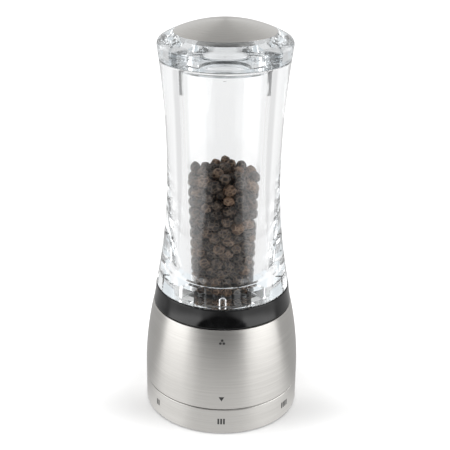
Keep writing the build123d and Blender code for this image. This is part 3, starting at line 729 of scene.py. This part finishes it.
def add_floor():
    """White paper that shows the mill's cast shadow to the camera, deepened by a painted shadow beside the
    base, is unlit far in front and brighter at the sides.
    """
    deselect()
    bpy.ops.mesh.primitive_plane_add(size=FLOOR_SIZE)
    floor = bpy.context.object
    floor.name = "floor"
    material, n = finish("floor_white")
    x = n.axes("Object")
    y = x.out("Y")
    forward = y * -1
    away = (x * x + forward * forward).math("SQRT")
    sideways = x.math("ABSOLUTE") / away
    aside = n.between(sideways, *FLOOR_SIDES)
    front = n.between(forward, 0.0, CLEAR_END[0])
    behind = n.between(y, *SHEEN_BACK_SPAN)

    lit = n.add("BsdfDiffuse", None, {"Color": n.mix(n.noise(scale=40, detail=3), *FLOOR_PAPER)})
    # The glow is weakest near the mill and beside the base's sides: a painted shadow on top of the cast one.
    glow_with_painted_shadow = n.between(away, *FLOOR_GLOW_SPAN, FLOOR_GLOW_NEAR, FLOOR_GLOW_FAR)
    to_ends = (forward - FLOOR_SHADE_FORWARD).math("ABSOLUTE")
    glow_with_painted_shadow = glow_with_painted_shadow + n.between(to_ends, *FLOOR_GLOW_ENDS_SPAN, 0.0, FLOOR_GLOW_ENDS)
    seen = n.add("AddShader", None, (lit, n.add("Emission", None, {"Color": glow_with_painted_shadow})))

    reach = away - SHEEN_END_CURVE * sideways * sideways / FLOOR_SIDES[0] ** 2
    widened = sideways - n.between(away, *SHEEN_WIDENING_SPAN, 0.0, SHEEN_WIDENING)
    unlit = n.between(reach, *SHEEN_END) * front * (1 - n.between(widened, *FLOOR_SIDES))
    sides = n.between(away, *SHEEN_FAR_SPAN, SHEEN_SIDES, SHEEN_FAR_SIDES)
    sides = sides - n.between(away, *SHEEN_FAR_END, 0.0, SHEEN_FAR_SIDES - SHEEN_SIDES)
    sheen = (SHEEN_NEAR * (1 - aside) + sides * aside) * (1 - unlit) + SHEEN_FRONT * unlit
    sheen = sheen * (1 - behind) + SHEEN_BACK * behind
    mirrored = n.add("Emission", None, {"Color": sheen})

    hidden = n.between(away, *CLEAR_END) * front * (1 - aside) * n.after("Glossy")
    view = (CLEAR_BACK * (1 - aside) + CLEAR_SIDES * aside) * (1 - hidden)
    view = view + n.between(away, *CLEAR_FAR, SHEEN_FRONT, CLEAR_FAR_FRONT) * hidden
    through = n.add("Emission", None, {"Color": view})

    unscattered = 1 - n.after("Diffuse")
    shader = n.add("MixShader", None, (n.ray("Is Camera Ray"), lit, seen))
    shader = n.add("MixShader", None, (n.ray("Is Glossy Ray") * unscattered, shader, mirrored))
    n.surface(n.add("MixShader", None, (n.ray("Is Transmission Ray") * unscattered, shader, through)))
    floor.data.materials.append(material)


def add_softbox(name, angle, side):
    """A large soft lamp at an angle from the camera's side of the mill."""
    place = Vector((side * math.sin(angle), -math.cos(angle), 0)) * SOFTBOX_DISTANCE
    place.z = SOFTBOX_HEIGHT
    bpy.ops.object.light_add(type="AREA", location=place)
    lamp = bpy.context.object
    lamp.name = name
    aim = Vector((0, 0, CAMERA_TARGET[2])) - place
    lamp.rotation_euler = aim.to_track_quat("-Z", "Z").to_euler()
    lamp.visible_camera = False
    lamp.data.shape = "RECTANGLE"
    lamp.data.size, lamp.data.size_y = SOFTBOX_SIZE
    lamp.data.energy = SOFTBOX_GLOW * math.pi * SOFTBOX_SIZE[0] * SOFTBOX_SIZE[1]


def add_world():
    """A studio that is white behind the mill, dimmer overhead and dark on the camera's side."""
    world = bpy.data.worlds.new("studio")
    bpy.context.scene.world = world
    n = Nodes(world)
    x = n.axes("Generated")
    forward = x.out("Y") * -1
    up = x.out("Z")
    sideways = x.math("ABSOLUTE")
    front = n.between(forward, *FRONT_FORWARD)
    ceiling = n.between(up, *CEILING_UP)
    overhead = n.between(forward, *OVERHEAD_FORWARD) * n.between(up, *OVERHEAD_UP)

    studio = BACK_GLOW * (1 - ceiling) + CEILING_GLOW * ceiling
    studio = studio * (1 - front) + FRONT_GLOW * front
    studio = studio * (1 - overhead) + OVERHEAD_GLOW * overhead
    reflected_front = front * n.after("Glossy")
    window = CLEAR_BACK * (1 - reflected_front) + FRONT_CLEAR * reflected_front
    sky = SKY_LOW + SKY_RISE * up.math("MAXIMUM", 0.0) + SKY_SIDES * n.between(sideways, *SKY_SIDES_ASIDE)

    direct = n.ray("Is Camera Ray")
    scattered = n.after("Diffuse")
    through = n.ray("Is Transmission Ray") * (1 - scattered)
    mirrored = (1 - scattered) * (1 - through) * (1 - direct)
    strength = sky * scattered + window * through + studio * mirrored + direct
    colour = n.mix(through * n.between(sideways, *SIDE_CLEAR_ASIDE), WHITE, SIDE_CLEAR)
    colour = n.mix(through * ceiling, colour, CEILING_CLEAR)
    back = n.add("Background", None, {"Color": colour, "Strength": strength})
    n.add("OutputWorld", None, {"Surface": back})


def set_up_render():
    scene = bpy.context.scene
    scene.view_settings.view_transform = "Standard"
    scene.cycles.max_bounces = LIGHT_BOUNCES
    scene.cycles.glossy_bounces = MIRROR_BOUNCES
    scene.cycles.transmission_bounces = CLEAR_BOUNCES


add_camera()
add_world()
add_floor()
add_softbox("left_softbox", LEFT_SOFTBOX_ANGLE, -1)
add_softbox("right_softbox", RIGHT_SOFTBOX_ANGLE, 1)
dress_cad_nodes()
peppercorns()
carrier_spring()
mark_ink = ink()
setting_marks(mark_ink)
base_marks(mark_ink)
set_up_render()
